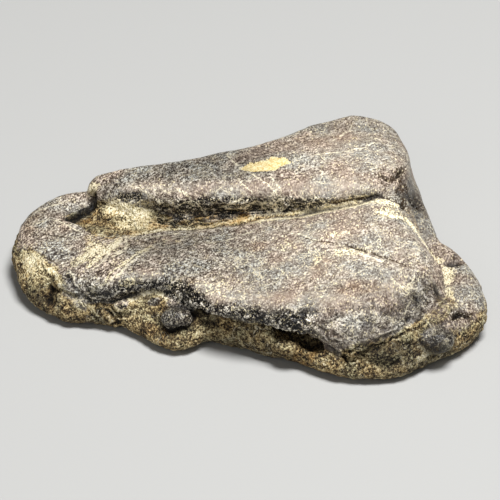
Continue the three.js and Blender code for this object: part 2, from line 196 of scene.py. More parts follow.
# Bands of pale crust: half the width, then the way the band runs.
BANDS = [
    [0.7, [[-17.2, -5.4, 5.7], [-16.2, -3.6, 5.8], [-15.0, -1.6, 5.8], [-14.4, 0.2, 5.6]]],
    [0.35, [[-15.4, -8.2, 5.5], [-13.1, -5.0, 6.1], [-11.5, -2.7, 6.1], [-10.6, -1.5, 6.0]]],
    [0.5, [[-11.9, -3.2, 6.1], [-11.2, -2.6, 6.1]]],
    [0.5, [[-13.0, 1.0, 5.6], [-9.7, 2.1, 5.7], [-7.8, 2.7, 5.5], [-5.2, 2.9, 5.7], [-2.6, 3.3, 5.8],
        [-0.3, 3.7, 6.2]]],
    [0.8, [[-1.4, 3.4, 6.0], [0.8, 3.7, 6.4], [3.3, 3.7, 7.0], [6.1, 3.2, 7.6], [8.6, 3.0, 8.2]]],
    [1.0, [[0.6, 2.3, 6.8], [4.9, 2.1, 7.5], [9.3, 2.2, 8.4], [12.7, 2.6, 8.9], [14.5, 2.6, 9.2],
        [16.6, 1.6, 9.3]]],
    [0.7, [[14.7, -0.1, 9.4], [16.0, -0.9, 9.4], [17.3, -0.9, 9.1]]],
    [0.7, [[17.8, -0.6, 8.8], [18.2, -1.5, 8.6], [19.0, -2.7, 8.0], [19.6, -4.2, 7.7],
        [20.3, -5.2, 7.0]]],
    [0.6, [[20.4, -1.0, 4.9], [20.8, -2.1, 4.8], [21.6, -3.4, 4.7]]],
    [0.9, [[22.1, -4.4, 4.8], [22.4, -5.9, 4.7], [22.1, -7.2, 4.6]]],
    [0.5, [[22.0, -8.8, 4.7], [22.4, -10.0, 4.7], [22.8, -11.8, 4.5]]],
    [0.4, [[18.4, -17.5, 2.9], [19.6, -17.5, 2.3], [18.4, -18.4, 1.9]]],
    [0.5, [[-12.8, -9.3, 3.6], [-11.5, -9.1, 4.2], [-10.3, -8.8, 4.5], [-9.3, -9.4, 4.5],
        [-8.8, -10.2, 4.3]]],
    [0.4, [[-21.9, -3.9, 4.5], [-20.6, -6.0, 4.3], [-18.9, -8.0, 3.2], [-17.0, -9.3, 2.3]]],
]

# Soft spots: the centre, the radii, then how much. First pale crust, then brown and orange iron
# stain, then paler (above 0) and darker (below 0) stone. These last are mostly painted light and
# shade: the right side paler, the left, the bar's back and its right end darker as light falls, and
# dark spots in the shadowed pocket, cavity and under the lip, with some real tone on the dark lumps
# and the pebble.
CREAM_SPOTS = [
    [[-12.0, 5.6, 7.0], [3.8, 2.0, 1.5], 0.5], [[-12.7, -8.6, 5.6], [1.6, 1.0, 1.0], 0.5],
    [[-18.2, -3.6, 5.2], [2.4, 1.6, 1.2], 0.9], [[-16.6, -1.6, 5.4], [2.2, 2.6, 1.5], 0.8],
    [[-14.9, -2.2, 5.9], [1.4, 2.6, 1.5], 0.5], [[-17.4, -2.6, 5.3], [2.2, 2.4, 1.4], 0.35],
    [[-14.2, -5.2, 6.1], [1.2, 2.0, 1.5], 0.3], [[-17.6, 1.2, 5.3], [1.0, 2.2, 1.2], 0.6],
    [[-14.6, 6.2, 6.4], [2.8, 1.8, 1.4], 1.1], [[-12.0, 5.6, 5.8], [2.6, 1.6, 1.2], 0.8],
    [[-17.4, 8.9, 6.9], [1.8, 1.6, 1.2], 1.4], [[-24.2, -1.8, 4.2], [2.8, 3.0, 1.8], 0.55],
    [[-21.8, -4.4, 4.4], [2.2, 2.4, 1.4], 0.35], [[15.4, 2.3, 9.3], [1.8, 0.9, 1.0], 0.6],
    [[18.6, -1.6, 8.4], [1.2, 1.6, 1.2], 0.5], [[-12.8, -10.0, 2.9], [3.4, 1.4, 1.0], 0.5],
    [[-12.0, 3.2, 5.5], [5.0, 2.0, 1.2], 0.45], [[-13.2, 4.6, 5.6], [3.6, 2.6, 1.6], 0.5],
    [[-23.6, -3.4, 3.6], [3.0, 3.0, 2.0], 0.4], [[-4.8, -13.2, 2.2], [1.6, 1.4, 1.0], 0.6],
    [[16.0, 0.2, 9.3], [2.6, 1.6, 1.2], 0.6], [[22.2, -5.6, 4.8], [1.0, 1.8, 1.2], 0.9],
    [[22.2, -9.4, 4.7], [1.0, 2.0, 1.2], 0.6], [[17.0, -12.4, 7.7], [2.2, 2.0, 1.2], 0.3],
    [[11.6, -6.9, 8.5], [3.6, 1.4, 1.0], 0.55], [[4.4, -4.0, 7.7], [1.2, 2.0, 1.0], 0.4],
    [[7.8, -7.4, 8.0], [0.9, 2.4, 1.0], 0.45], [[10.2, -3.4, 8.6], [3.2, 0.9, 1.0], 0.35],
    [[-3.0, -11.0, 6.7], [6.0, 2.4, 1.2], 0.25], [[9.0, -18.6, 2.0], [3.0, 1.6, 1.2], 0.4],
    [[14.0, -18.4, 2.6], [4.0, 2.0, 1.2], 0.35], [[19.6, -18.0, 2.0], [2.4, 1.4, 1.0], 0.5],
]
RUST_SPOTS = [
    [[-22.0, 2.0, 6.0], [5.0, 6.0, 3.0], 0.2], [[-17.0, 3.4, 4.9], [2.6, 1.4, 1.0], 0.5],
    [[-22.4, -7.0, 2.5], [3.6, 3.0, 2.0], 0.8], [[-2.0, 3.8, 6.0], [9.0, 1.8, 1.6], 1.2],
    [[-10.0, 3.6, 5.4], [4.0, 1.6, 1.4], 0.7], [[-18.0, 6.5, 4.8], [2.4, 2.6, 1.2], 1.0],
    [[-14.0, 1.0, 5.5], [4.0, 1.6, 1.2], 0.6], [[-17.4, 0.4, 5.3], [1.4, 2.2, 1.2], 0.5],
    [[-10.0, -1.0, 6.0], [5.0, 2.2, 1.2], 0.35], [[-7.0, -9.6, 6.2], [2.6, 1.4, 1.2], 0.6],
    [[8.0, -8.5, 7.9], [2.0, 3.4, 1.2], 0.3], [[1.0, -4.0, 7.2], [2.0, 2.4, 1.2], 0.35],
    [[12.5, -13.6, 7.7], [4.0, 1.8, 1.2], 0.55], [[2.4, -13.2, 6.9], [2.2, 1.2, 1.0], 0.5],
    [[6.4, -17.2, 1.6], [6.0, 2.8, 1.8], 1.0], [[4.6, -14.6, 2.6], [2.4, 1.4, 1.0], 0.8],
    [[-9.0, -13.4, 1.6], [3.6, 2.6, 1.4], 0.8], [[19.2, 1.0, 7.4], [3.0, 3.2, 2.8], 1.3],
    [[22.6, -10.8, 4.6], [1.4, 1.6, 1.2], 0.5], [[-24.6, 6.0, 5.0], [3.0, 4.0, 1.6], 0.4],
    [[9.0, 14.5, 10.7], [7.0, 2.6, 1.0], 0.25],
]
TONE_AND_LIGHT_SPOTS = [
    [[12.0, 8.0, 10.6], [11.0, 11.0, 5.0], 0.5], [[12.0, -6.0, 8.4], [14.0, 11.0, 5.0], 0.52],
    [[20.4, -16.4, 3.2], [3.2, 2.6, 2.3], -0.8], [[18.5, -13.4, 6.8], [2.2, 2.6, 2.0], -0.2],
    [[20.3, -11.6, 6.4], [2.0, 2.4, 2.0], -0.25], [[4.0, -16.2, 5.8], [4.0, 1.6, 1.2], -0.25],
    [[-15.6, -8.9, 4.5], [3.0, 1.4, 1.2], -0.7], [[-11.0, -8.7, 4.9], [4.6, 1.4, 1.0], -0.7],
    [[-10.1, -10.1, 4.0], [1.1, 0.9, 0.7], -0.45], [[-19.4, -6.8, 4.3], [1.3, 2.0, 1.0], -0.4],
    [[-7.6, -12.9, 3.6], [3.0, 2.4, 2.2], -0.65], [[-17.0, 3.4, 4.9], [2.6, 1.4, 1.0], -0.4],
    [[-7.6, -11.6, 4.8], [3.4, 2.0, 1.2], -0.5], [[17.5, -18.6, 2.2], [8.0, 4.0, 3.0], -0.5],
    [[23.0, -3.7, 4.9], [1.7, 1.0, 1.4], -0.9], [[19.4, -12.4, 6.6], [3.4, 3.6, 2.4], -0.15],
    [[7.4, -16.2, 2.3], [1.9, 1.6, 0.9], -0.6], [[4.0, -14.2, 2.9], [1.4, 1.2, 0.7], -0.4],
    [[7.0, 17.6, 10.4], [5.0, 1.8, 1.6], -0.25], [[-13.2, 5.7, 7.9], [1.3, 0.9, 0.6], -0.4],
    [[2.0, -11.5, 7.0], [9.0, 3.0, 2.0], 0.15], [[-12.0, 8.5, 9.4], [6.0, 3.0, 3.0], -0.2],
    [[-8.0, -1.0, 6.2], [11.0, 10.0, 4.0], -0.33], [[-23.5, 6.0, 5.0], [4.0, 5.0, 2.0], -0.2],
    [[-10.0, -1.0, 6.2], [9.0, 5.0, 2.0], -0.15], [[18.9, 6.0, 7.8], [2.6, 5.0, 3.6], -0.5],
    [[-15.3, 7.6, 7.8], [1.8, 1.8, 2.0], -0.35], [[14.0, -18.6, 4.0], [5.0, 3.0, 2.4], -0.45],
    [[2.0, -15.4, 1.2], [10.0, 3.8, 2.0], -0.45], [[-18.9, 5.6, 4.6], [1.8, 1.8, 0.9], -0.5],
    [[19.9, 8.0, 6.0], [2.4, 6.0, 3.0], -0.3], [[-5.0, 9.0, 10.0], [12.0, 6.0, 3.0], -0.42],
    [[2.0, 10.6, 10.4], [7.0, 2.4, 1.6], -0.12], [[-22.4, -7.0, 2.5], [3.6, 3.0, 2.0], -0.55],
    [[-18.0, -10.4, 1.0], [5.0, 3.0, 1.2], -0.35], [[-3.0, -14.4, 1.0], [4.0, 2.4, 1.0], -0.35],
    [[-19.2, 7.4, 4.7], [1.4, 1.6, 0.8], -0.5], [[-8.0, 4.4, 5.2], [5.0, 1.2, 1.2], -0.35],
    [[-4.5, 3.0, 5.8], [5.0, 1.2, 1.2], -0.2], [[-2.0, 4.6, 5.6], [5.0, 1.2, 1.2], -0.35],
    [[7.2, -16.9, 6.0], [1.6, 1.1, 1.2], 1.1], [[-17.0, -9.6, 2.0], [5.0, 3.0, 2.0], -0.3],
    [[18.5, -13.6, 6.8], [1.4, 1.5, 1.3], -0.25], [[17.8, -15.0, 5.8], [2.4, 1.6, 1.2], -0.3],
    [[20.8, -11.4, 6.2], [1.3, 1.6, 1.3], -0.35],
]

# Worn rounded edges painted paler, as painted sheen: half the width, how much, then the way the edge
# runs.
WEAR_AND_SHEEN_EDGES = [
    [1.3, 0.4, [[-13.0, 6.6, 8.9], [-10.9, 6.0, 9.1], [-5.2, 5.0, 9.5], [-0.7, 4.7, 9.8],
        [3.8, 4.3, 10.1], [8.2, 3.8, 10.3], [12.0, 4.3, 10.4]]],
    [2.0, 0.5, [[-4.6, -10.6, 6.4], [-2.4, -12.8, 6.6], [0.6, -13.7, 6.9], [3.6, -14.0, 7.2],
        [8.2, -15.0, 7.5], [11.4, -15.6, 7.6]]],
    [0.9, 0.3, [[-12.6, -8.0, 5.8], [-9.8, -7.6, 5.9]]],
]

# Broken edges of the plate: the centre, the radii, then how much.
RAGGED = [
    [[-1.0, -15.0, 6.0], [4.0, 1.6, 1.6], 1.2],
    [[5.4, -15.8, 6.4], [4.4, 2.2, 1.8], 1.3],
    [[10.4, -17.0, 6.4], [4.0, 3.0, 2.4], 1.3],
    [[14.8, -16.2, 6.4], [3.6, 3.0, 2.2], 1.3],
    [[19.0, -12.8, 6.6], [3.4, 4.2, 2.4], 1.4],
    [[21.0, -7.4, 6.0], [2.0, 3.4, 2.0], 1.2],
    [[-15.8, -7.6, 5.2], [3.0, 2.0, 1.6], 1.0],
    [[-14.0, 8.8, 8.0], [3.0, 2.4, 2.2], 1.1],
]

# Dark polished lumps: the one below the plate's corner, the corner's facets, a small lens under the
# lip, and the knob on the left lobe. Then the bar's right end, whose facets get painted shade.
DARK_LUMPS = [
    [[20.4, -16.4, 3.2], [2.8, 2.2, 2.0], 1.5],
    [[19.2, -13.2, 6.4], [2.6, 2.8, 1.5], 0.8],
    [[-10.1, -10.1, 4.0], [1.1, 0.9, 0.6], 1.6],
    [[-19.5, -6.2, 4.4], [1.3, 2.0, 1.2], 1.3],
]
BAR_END_SHADE = [[18.9, 6.0, 7.8], [2.8, 5.0, 3.6], 1.0]

# Dark worn hollows in the bar's face: the centre, the radii, then how much.
BAR_HOLLOWS = [
    [[-13.9, 5.8, 7.6], [1.2, 1.2, 0.8], 1.6],
    [[-12.7, 5.6, 8.0], [1.3, 1.2, 0.8], 1.6],
    [[-9.5, 4.9, 7.2], [1.5, 1.5, 1.5], 1.6],
    [[-3.8, 4.3, 7.3], [1.6, 1.6, 1.6], 1.0],
    [[1.5, 3.9, 7.7], [1.7, 1.6, 1.3], 1.0],
    [[4.8, 3.4, 8.2], [2.2, 1.6, 1.2], 1.0],
]

# Lumps (above 0) and pits (below 0) on the surface: the centre, the radii, then the height.
RELIEF_SPOTS = [
    [[20.8, -11.4, 6.2], [1.0, 1.3, 1.0], -0.5],
    [[19.7, -12.9, 6.3], [0.7, 0.7, 0.7], 0.3],
    [[18.5, -13.6, 6.8], [1.1, 1.2, 1.0], -0.4],
    [[17.4, -15.9, 5.6], [1.2, 1.0, 0.9], -0.35],
    [[-22.4, -7.2, 2.4], [1.8, 1.6, 1.0], -0.4],
    [[-20.4, -7.6, 2.8], [0.7, 1.4, 0.8], 0.35],
    [[-23.6, -4.0, 3.6], [0.8, 0.9, 0.7], 0.3],
    [[-6.0, -13.2, 3.9], [0.5, 1.2, 0.5], -0.3],
    [[5.2, -15.2, 3.0], [1.6, 1.6, 0.8], -0.5],
    [[9.0, -14.9, 6.9], [0.8, 1.0, 0.7], 0.35],
    [[-14.0, -9.6, 2.9], [2.4, 0.8, 0.6], 0.3],
]

# Crumbs stuck on the stone, its one pebble, and hollows worn in it: the centre, then the radii.
CRUMBS = [
    [[-15.0, 7.2, 6.2], [1.3, 1.1, 1.1]], [[-13.6, 6.4, 6.2], [1.2, 1.0, 1.0]],
    [[-12.2, 5.9, 5.9], [1.3, 1.0, 1.0]], [[-10.4, 5.4, 5.6], [1.4, 0.9, 0.8]],
    [[-8.3, 5.1, 5.3], [1.3, 0.8, 0.7]], [[-14.2, 4.9, 5.3], [1.4, 1.0, 0.7]],
    [[-11.6, 4.2, 5.2], [1.3, 0.9, 0.6]], [[-15.9, 5.8, 5.2], [1.0, 1.0, 0.8]],
    [[-16.4, 7.2, 5.2], [0.8, 0.8, 0.8]], [[19.9, -14.6, 4.7], [1.1, 0.8, 0.6]],
    [[18.4, -15.8, 4.5], [1.2, 0.8, 0.6]], [[16.9, -16.8, 4.1], [1.2, 0.8, 0.6]],
    [[15.3, -17.6, 3.7], [1.2, 0.8, 0.6]], [[13.6, -18.5, 3.2], [1.2, 0.8, 0.6]],
    [[-19.2, 5.4, 4.3], [0.5, 0.5, 0.45]], [[-18.4, 6.0, 4.4], [0.5, 0.5, 0.5]],
    [[-17.6, 7.2, 4.4], [0.5, 0.5, 0.5]], [[-6.2, 4.7, 5.5], [1.7, 0.9, 0.55]],
    [[-3.6, 4.5, 5.7], [1.7, 0.9, 0.5]], [[-1.0, 4.4, 6.0], [1.7, 0.9, 0.55]],
    [[1.6, 4.3, 6.4], [1.7, 0.9, 0.5]], [[4.0, 4.1, 6.9], [1.6, 0.9, 0.5]],
    [[6.4, 4.0, 7.5], [1.7, 0.9, 0.5]], [[7.2, -16.8, 5.9], [0.9, 0.6, 0.6]],
    [[2.4, -14.6, 3.0], [1.2, 1.2, 0.8]], [[4.4, -16.6, 2.5], [1.4, 1.2, 0.7]],
    [[9.4, -18.2, 2.2], [1.2, 1.2, 0.8]], [[14.6, -18.6, 2.8], [2.0, 1.2, 0.8]],
    [[21.6, -11.9, 4.5], [1.0, 1.3, 0.9]], [[20.7, -13.5, 4.6], [1.2, 1.2, 0.9]],
    [[19.4, -15.0, 4.1], [1.4, 1.1, 0.9]], [[17.8, -16.3, 3.6], [1.4, 1.1, 0.9]],
    [[16.0, -17.2, 3.2], [1.4, 1.1, 0.9]], [[23.0, -9.4, 4.4], [1.3, 1.5, 0.9]],
    [[24.2, -6.4, 4.4], [1.2, 1.4, 0.8]], [[20.4, -16.4, 3.1], [1.9, 1.5, 1.2]],
    [[-12.9, -9.6, 3.2], [1.6, 0.7, 0.5]], [[-19.6, -6.0, 4.2], [1.0, 1.5, 0.8]],
]
PEBBLE = [[-7.6, -12.9, 3.6], [1.8, 1.3, 1.25]]
HOLES = [
    [[7.2, -15.6, 2.9], [1.5, 3.0, 0.9]], [[5.6, -14.6, 3.3], [1.6, 1.8, 0.6]],
    [[-12.9, 4.9, 7.5], [1.0, 0.7, 0.5]], [[-9.2, 4.4, 6.9], [1.1, 0.7, 0.8]],
    [[23.0, -3.7, 5.1], [1.3, 0.6, 0.8]], [[23.4, -13.0, 4.7], [1.2, 0.5, 0.6]],
    [[-22.2, -6.2, 3.2], [1.3, 0.8, 0.6]], [[-10.1, -10.3, 4.3], [1.0, 0.5, 0.35]],
]

# The groove of soft rock round the plate's right corner.
GROOVE = [
    [11.0, -19.4, 3.4], [15.9, -17.3, 3.6], [18.7, -15.5, 4.2], [20.4, -13.8, 4.8], [21.4, -11.8, 4.9],
]

# The straight wall at the back of the pocket, and the plan outlines of its sunk floor and of the
# rim behind it.
POCKET_WALL = [[-20.5, 5.3, 5.2], [-16.6, 9.6, 5.4]]
SUNK = [[-20.5, 5.3], [-17.9, 8.2], [-17.7, 7.4], [-17.5, 6.4], [-17.2, 4.6], [-18.4, 3.6]]
SHELF = [[-20.6, 5.2], [-16.9, 9.3], [-17.6, 10.0], [-21.3, 5.9]]

# ------------------------------
# Tools for shapes and places.


def by_x(line, x):
    """Heights of an open line at the places x."""
    across, heights = zip(*line)
    return np.interp(x, across, heights)


def rise(value, low, high):
    """0 up to low, 1 from high, and a smooth rise between them."""
    share = np.clip((value - low) / (high - low), 0, 1)
    return share * share * (3 - 2 * share)


def inside(outline, x, y):
    """How far inside a plan outline each place lies. It is less than 0 outside."""
    nearest = np.full(len(x), np.inf)
    within = np.zeros(len(x), bool)
    for (ax, ay), (bx, by) in zip(outline, outline[1:] + outline[:1]):
        along = ((x - ax) * (bx - ax) + (y - ay) * (by - ay)) / ((bx - ax) ** 2 + (by - ay) ** 2)
        along = np.clip(along, 0, 1)
        gap = np.hypot(x - ax - along * (bx - ax), y - ay - along * (by - ay))
        nearest = np.minimum(nearest, gap)
        if ay != by:
            crossing = ax + (y - ay) / (by - ay) * (bx - ax)
            within ^= ((ay > y) != (by > y)) & (x < crossing)
    return np.where(within, nearest, -nearest)


def spotted(spots, places):
    """The sum of soft spots at each place. A spot is full at its centre and nothing at its radii."""
    total = np.zeros(len(places))
    for centre, radii, amount in spots:
        reach = np.linalg.norm((places - centre) / radii, axis=1)
        total += amount * (1 - rise(reach, 0.2, 1.0))
    return total


def beside(way, places, facing):
    """How far each place is to one side of a way over the surface: more than 0 on its left.

    A way counts only on its own surface, so height over or under it past 1.2 mm adds up too.
    """
    nearest = np.full(len(places), np.inf)
    side = np.full(len(places), 9.0)
    for start, end in zip(np.array(way), np.array(way[1:])):
        run = end - start
        along = np.clip((places - start) @ run / (run @ run), 0, 1)
        gap = places - start - along[:, None] * run
        above = (gap * facing).sum(1)
        across = gap - above[:, None] * facing
        reach = np.linalg.norm(across, axis=1) + np.maximum(0, np.abs(above) - 1.2)
        left = np.sign((np.cross(facing, run) * gap).sum(1))
        closer = reach < nearest
        nearest = np.where(closer, reach, nearest)
        side = np.where(closer, left * reach, side)
    return side


def in_half_widths(lines, places, facing):
    """How far each place is to one side of the nearest line, counted in half widths of that line."""
    nearest = np.full(len(places), FAR_OFF)
    for half_width, way in lines:
        across = beside(way, places, facing) / half_width
        nearest = np.where(np.abs(across) < np.abs(nearest), across, nearest)
    return nearest


def ripple(places, width, octaves=1, layer=0.0):
    """Smooth noise, about -1 to 1, in lumps of this width. Each layer is a pattern of its own."""
    spots = places / width + layer
    return np.array([noise.fractal(spot, 1.0, 2.0, octaves) for spot in map(Vector, spots)])


def drift(places, width, octaves, layers):
    """Smooth noise in all three directions, which pushes places about."""
    return np.stack([ripple(places, width, octaves, layer) for layer in layers], 1)


def grains(places, width, layer=0.0):
    """Packed grains of this width: 0 in the gaps between grains and up to 1 on their tops."""
    spots = places / width + layer
    tops = np.empty(len(places))
    for k, spot in enumerate(map(Vector, spots)):
        first, second = noise.voronoi(spot)[0][:2]
        tops[k] = second - first
    return np.clip(tops * 2.2, 0, 1)


def chips(places, width, layer=0.0):
    """Flat broken faces of this width. Each leans its own way and has its own tone, 0 to 1."""
    spots = places / width + layer
    heights = np.empty(len(places))
    tones = np.empty(len(places))
    for k, spot in enumerate(map(Vector, spots)):
        middle = noise.voronoi(spot)[1][0]
        lean = noise.cell_vector(middle)
        heights[k] = (spot - middle).dot(lean - Vector((0.5, 0.5, 0.5)))
        tones[k] = lean.x
    return heights, tones


def settle(shape, name):
    """An object in the scene that holds a bmesh shape."""
    data = bpy.data.meshes.new(name)
    shape.to_mesh(data)
    shape.free()
    made = bpy.data.objects.new(name, data)
    bpy.context.scene.collection.objects.link(made)
    return made


def applied(piece, kind, **settings):
    """Runs one modifier on a piece and keeps its result."""
    modifier = piece.modifiers.new("step", kind)
    for name, value in settings.items():
        setattr(modifier, name, value)
    evaluated = piece.evaluated_get(bpy.context.evaluated_depsgraph_get())
    result = bpy.data.meshes.new_from_object(evaluated)
    piece.modifiers.clear()
    piece.data = result


def put_ellipsoid(shape, centre, radii):
    """Adds a smooth egg to a shape: a crumb, or what a hollow is cut with."""
    where = Matrix.LocRotScale(Vector(centre) * MM, None, Vector(radii) * MM)
    bmesh.ops.create_icosphere(shape, subdivisions=3, radius=1.0, matrix=where)


def even_copy(node):
    """The CAD node's surface, hollowed and crumbed, as an even mesh of small smoothed faces."""
    solid = bmesh.new()
    solid.from_mesh(node.data)
    bmesh.ops.remove_doubles(solid, verts=solid.verts, dist=WELD * MM)
    piece = settle(solid, "jaw")
    for hole in HOLES:
        cut = bmesh.new()
        put_ellipsoid(cut, *hole)
        cutter = settle(cut, "cutter")
        applied(piece, "BOOLEAN", operation="DIFFERENCE", object=cutter, solver="EXACT")
        bpy.data.objects.remove(cutter)
    whole = bmesh.new()
    whole.from_mesh(piece.data)
    for crumb in CRUMBS + [PEBBLE]:
        put_ellipsoid(whole, *crumb)
    whole.to_mesh(piece.data)
    whole.free()
    applied(piece, "REMESH", mode="VOXEL", voxel_size=MESH_STEP * MM)

    # The flat sole needs few faces, and the tops are smoother than the sides.
    even = bmesh.new()
    even.from_mesh(piece.data)
    sole = [v for v in even.verts
            if v.co.z < SOLE_TOP * MM and all(f.normal.z < -0.999 for f in v.link_faces)]
    bmesh.ops.unsubdivide(even, verts=sole, iterations=4)
    every = {"use_axis_x": True, "use_axis_y": True, "use_axis_z": True}
    for _ in range(SMOOTHINGS):
        bmesh.ops.smooth_vert(even, verts=even.verts, factor=0.5, **every)
    even.normal_update()
    flat = [v for v in even.verts if v.normal.z > 0.8]
    for _ in range(TOP_SMOOTHINGS):
        bmesh.ops.smooth_vert(even, verts=flat, factor=0.5, **every)
    even.to_mesh(piece.data)
    even.free()
    return piece


def read(vertices, what):
    """One of the vertices' vectors, such as their places, as rows of three numbers."""
    values = np.empty(len(vertices) * 3, np.float32)
    vertices.foreach_get(what, values)
    return values.reshape(-1, 3).astype(float)


def averaged(values, times=1):
    """Each value as the mean of its neighbours' values, so many times over."""
    for _ in range(times):
        total = np.zeros_like(values)
        np.add.at(total, edges[:, 0], values[edges[:, 1]])
        np.add.at(total, edges[:, 1], values[edges[:, 0]])
        values = (total.T / neighbours).T
    return values


# ------------------------------
# The jaw's mesh, and the pocket at the left end of its furrow.
jaw = even_copy(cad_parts["jaw_bone"])
mesh = jaw.data
place = read(mesh.vertices, "co") / MM
facing = read(mesh.vertices, "normal")
edges = np.empty(len(mesh.edges) * 2, np.int32)
mesh.edges.foreach_get("vertices", edges)
edges = edges.reshape(-1, 2)
neighbours = np.bincount(edges.ravel(), minlength=len(place))

# Behind a straight wall the floor is sunk, and the rim over the wall is filled up level.
faces_up = facing[:, 2] > 0
from_wall = -beside(POCKET_WALL, place, np.array([0, 0, 1]))
in_sunk = inside(SUNK, place[:, 0], place[:, 1])
pocket_floor = POCKET_FLOOR + POCKET_SLOPE * np.clip(from_wall, 0, 3)
place[:, 2] -= rise(in_sunk, 0.0, 0.2) * faces_up * np.maximum(0, place[:, 2] - pocket_floor)
on_shelf = rise(inside(SHELF, place[:, 0], place[:, 1]), 0.0, 0.15) * faces_up
place[:, 2] += on_shelf * np.maximum(0, SHELF_HEIGHT - place[:, 2])
# The band of the pocket's wall, which is given painted shadow further down.
pocket_wall = rise(from_wall, -0.3, -0.18) * (1 - rise(from_wall, 0.35, 0.7))
pocket_wall *= rise(in_sunk, -0.6, -0.3)

# ------------------------------
# Kinds of surface, each as a share from 0 to 1. The edges of places wander a little, so that
# nothing on the stone has a drawn outline.
wander = drift(place, 2.2, 2, (3.1, 17.3, 31.7))
x, y, z = (place + WANDER * wander).T
away = facing[:, 1]
up = facing[:, 2]

# The bar's dark face stands over the furrow, whose crust climbs a little up the plate's side.
bar_face = rise(-away, 0.05, 0.3) * rise(z - by_x(BAND_FOOT, x), -0.2, 0.2) * rise(y, 1.5, 2.5)
bar_face *= rise(by_x(BAND_TOP, x) - z, -0.15, 0.2) * rise(x, -9.0, -7.4) * rise(14.5 - x, 0, 2)
bar_face *= 1 - 0.3 * rise(x, 7.0, 12.0)
hollows = np.clip(spotted(BAR_HOLLOWS, place), 0, 1)
bar_face = np.maximum(bar_face, hollows)
low_or_on_plate = np.maximum(rise(by_x(BAR_FOOT, x) - z, -0.15, 0.25), rise(away, -0.05, 0.15))
furrow = rise(inside(FURROW, x, y), -0.15, 0.35) * low_or_on_plate * (1 - 0.9 * bar_face)

# Along the front, rock shows under the plate's lip, and the rim above the lip is dark and polished.
lip = by_x(LIP, x)
front = rise(-y, 6.0, 7.5) * rise(x, -18.5, -17.0) * rise(21.0 - x, 0, 0.6)
under_lip = front * rise(lip - z, -0.15, 0.2)
plate_rim = front * rise(z - lip, -0.2, 0.15) * rise(by_x(RIM, x) - z, -0.2, 0.5)
plate_rim *= rise(-away + 0.6 * (1 - up), 0.15, 0.5) * (1 - 0.55 * rise(x, 5.0, 9.0))

# Rock shows on the left lobe, low on the right lobe and back, in the groove and round the sole.
lobe_rock = rise(by_x(LOBE_EDGE, x) - y, -0.9, 1.2) * rise(-16.9 - x, 0, 0.7)
low_right = rise(x, 18.0, 21.0) * rise(3.4 - z, -0.8, 0.8)
low_back = rise(y, -2.0, 2.0) * rise(3.4 + 1.2 * wander[:, 0] - z, -0.5, 0.6)
groove = 1 - rise(np.abs(beside(GROOVE, place, facing)), 0.5, 1.4)
round_sole = rise(0.9 - z, 0, 0.5)
pebble_reach = np.linalg.norm((place + 0.25 * wander - PEBBLE[0]) / PEBBLE[1], axis=1)
pebble = 1 - rise(pebble_reach, 1.02, 1.12)
glossy = np.maximum.reduce([pebble] + [spotted([lump], place) for lump in DARK_LUMPS])
glossy = np.clip(glossy, 0, 1)
rock = np.maximum.reduce([furrow, under_lip, lobe_rock, low_right, low_back, groove, round_sole])
rock *= 1 - glossy
# Painted shade on the facets at the bar's right end, drawn as dark crust.
bar_end_shade = spotted([BAR_END_SHADE], place)
dark = np.clip(np.maximum.reduce([bar_face, plate_rim * (1 - rock), 0.8 * glossy, 0.7 * bar_end_shade]), 0, 1)

# ------------------------------
# Relief in millimetres, from coarse to fine.
grit = 0.6 * grains(place, 0.95) + 0.4 * grains(place, 0.6, 7.7)
lumpy = ripple(place, 2.6, 2, 5.0)
flow = (place + 0.9 * drift(place, 3.4, 1, (81.2, 95.5, 7.9))) * [0.55, 0.7, 1.3]
layered = 0.5 - np.abs(ripple(flow, 1.3, 3, 9.1))
relief = rock * (0.08 * (grit - 0.5) + 0.12 * ripple(place, 0.9, 3, 1.7) + 0.14 * lumpy + 0.2 * layered)
chip_height, chip_tone = chips(place * [0.7, 1.0, 1.1] + 0.3 * wander, 1.3)
ragged = np.clip(spotted(RAGGED, place), 0, 1)
relief += ragged * (0.42 * chip_height + 0.12 * layered)
relief += dark * (0.35 * chip_height * (1 - 0.4 * glossy) + 0.2 * layered + 0.12 * lumpy)
relief += (1 - rock) * (1 - dark) * (0.03 * ripple(place, 0.8, 2, 2.2) + 0.05 * lumpy)
relief += spotted(RELIEF_SPOTS, place) - 0.3 * hollows * rise(ripple(place, 1.3, 2, 33.0), -0.3, 0.3)

# Lines on the stone: cracks are cut in, folds are raised, and veins and bands are only colour.
shaken = place + SHAKE * drift(place, 0.9, 2, (41.1, 53.3, 67.7))
for _, depth, way in CRACKS:
    relief -= depth * (1 - rise(np.abs(beside(way, shaken, facing)), 0.0, 0.35))
crack = in_half_widths([[half_width, way] for half_width, _, way in CRACKS], shaken, facing)
vein = in_half_widths(VEINS, shaken, facing)
band = np.zeros(len(place))
for half_width, way in BANDS:
    band = np.maximum(band, 1 - rise(np.abs(beside(way, shaken, facing)), 0.0, half_width))
fold = np.zeros(len(place))
broken = ripple(place, 1.6, 2, 61.3)
for half_width, spacing, height, way in FOLDS:
    across = beside(way, shaken, facing)
    ridge = np.cos(2 * math.pi * (across / spacing + 0.8 * broken))
    ridge *= 1 - rise(np.abs(across), 0.2 * half_width, half_width)
    ridge *= np.clip(0.7 + 1.2 * lumpy, 0, 1)
    relief += height * ridge
    fold = np.where(np.abs(ridge) > np.abs(fold), ridge, fold)

# The chip is a shallow scar, and a crevice runs round the top of the pebble.
chip = inside(CHIP, shaken[:, 0], shaken[:, 1]) - 5 * (place[:, 2] < CHIP_LOWEST)
relief -= 0.08 * rise(chip, -0.1, 0.2)
over_pebble = rise(place[:, 2] - 0.5 * np.abs(place[:, 0] - PEBBLE[0][0]), 1.6, 2.6)
crevice = (1 - rise(np.abs(pebble_reach - 1.14), 0.02, 0.14)) * over_pebble
relief -= 0.4 * crevice
relief *= rise(place[:, 2], 0.0, 0.5)
place += facing * relief[:, None]
place[:, 2] = np.maximum(place[:, 2], 0)
mesh.vertices.foreach_set("co", (place * MM).astype(np.float32).ravel())
mesh.update()
